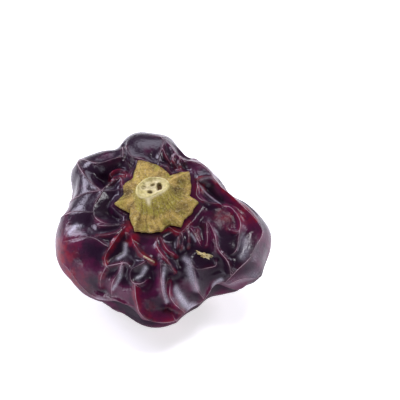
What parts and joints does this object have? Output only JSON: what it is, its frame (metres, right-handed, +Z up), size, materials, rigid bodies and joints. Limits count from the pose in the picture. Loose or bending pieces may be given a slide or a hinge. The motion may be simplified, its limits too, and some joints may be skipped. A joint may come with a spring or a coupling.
{
  "type": "dried chilli pepper",
  "caption": "Small round dried chilli pepper with a crumpled glossy dark red skin and a cut stem on a star-shaped calyx, lying on its base with the stem up.",
  "frame": {"origin": "on the surface that the pepper rests on, under the middle of its outline", "axes": "+Z up from the resting spot; the stem leans towards -Y and a little towards -X"},
  "size_m": [0.0586, 0.0566, 0.0406],
  "materials": {
    "skin": "glossy, crumpled, nearly black in the folds and red on thin crests",
    "calyx": "dry, matt and fibrous, olive to straw"
  },
  "bodies": {
    "root": {"fruit": "skin", "calyx": "calyx"}
  },
  "joints": []
}
